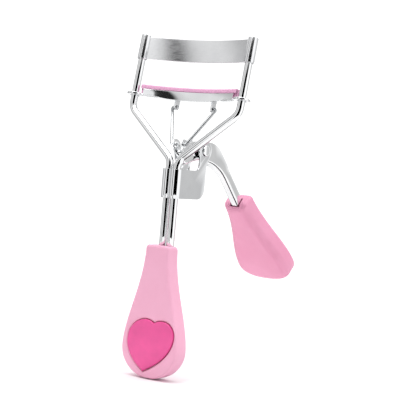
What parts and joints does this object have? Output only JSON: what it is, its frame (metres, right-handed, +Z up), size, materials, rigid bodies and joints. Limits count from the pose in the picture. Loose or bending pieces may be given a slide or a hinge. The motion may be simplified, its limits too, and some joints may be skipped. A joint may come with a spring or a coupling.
{
  "type": "eyelash curler",
  "caption": "Hand eyelash curler with a bent wire cage, a fixed upper jaw, a sliding lower jaw with a soft pad, and a curved lever with moulded paddle grips.",
  "frame": {"origin": "middle of the small flat at the lower end of the main handle", "axes": "+Z runs up the main handle and the shaft towards the jaws; +X runs across the jaws; -Y is the front, and the lever stands out towards +Y"},
  "size_m": [0.0452, 0.0699, 0.1051],
  "materials": {
    "wire": "bright chrome plate on round steel wire",
    "pressed_sheet": "bright to satin chrome plate on pressed steel sheet",
    "rivet": "bright chrome plate, domed heads",
    "moulded_grip": "satin light pink moulded plastic",
    "inlay": "deep pink plastic, soft gloss",
    "silicone": "matte pink silicone"
  },
  "bodies": {
    "frame": {"left_frame_wire": "wire", "right_frame_wire": "wire", "upper_jaw": "pressed_sheet", "bracket": "pressed_sheet", "pivot_rivet": "rivet", "handle_grip": "moulded_grip", "heart_inlay": "inlay"},
    "lever": {"lever": "pressed_sheet", "lever_grip": "moulded_grip"},
    "lower_jaw": {"lower_jaw": "pressed_sheet", "silicone_pad": "silicone"},
    "links": {"left_link": "wire", "right_link": "wire"}
  },
  "joints": [
    {"name": "lever_pivot", "type": "hinge", "parent": "frame", "child": "lever", "pos_m": [0, 0.0133, 0.07], "axis": [-1, 0, 0], "range_deg": [0, 47]},
    {"name": "jaw_slide", "type": "slide", "parent": "frame", "child": "lower_jaw", "axis": [0, 0.1805, 0.9836], "range_m": [0, 0.00825]},
    {"name": "link_swing", "type": "hinge", "parent": "lower_jaw", "child": "links", "pos_m": [0, 0.00988, 0.08288], "axis": [1, 0, 0], "range_deg": [0, 12.5]}
  ],
  "couplings": [
    {"joint": "jaw_slide", "follows": "lever_pivot", "m_per_rad": 0.010057},
    {"joint": "link_swing", "follows": "lever_pivot", "ratio": 0.2655}
  ]
}
